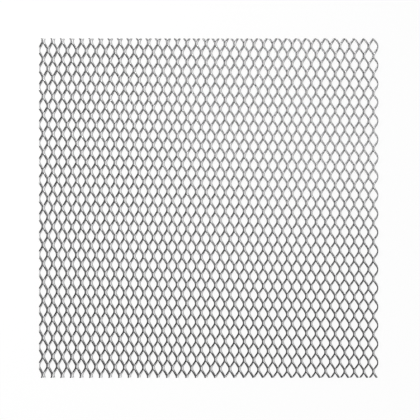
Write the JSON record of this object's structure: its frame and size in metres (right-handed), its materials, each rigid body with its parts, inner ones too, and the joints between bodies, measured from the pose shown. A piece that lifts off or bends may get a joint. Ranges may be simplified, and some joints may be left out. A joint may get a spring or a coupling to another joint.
{
  "type": "expanded aluminium mesh sheet",
  "caption": "Flat square sheet of raised expanded aluminium mesh with diamond openings, slit and stretched in one piece from plain sheet and cut square.",
  "frame": {"origin": "centre of the sheet's underside, where its lowest strand edges rest", "axes": "+X across the strips, along the short diagonals of the diamonds; +Y along the strips, along the long diagonals, upwards in the picture; +Z out of the face that the picture shows"},
  "size_m": [0.3, 0.3, 0.004],
  "materials": {
    "aluminium": "mill finish, uncoated, with bright sheared edges"
  },
  "bodies": {
    "root": {"mesh_band_1": "aluminium", "mesh_band_2": "aluminium", "mesh_band_3": "aluminium", "mesh_band_4": "aluminium"}
  },
  "joints": []
}
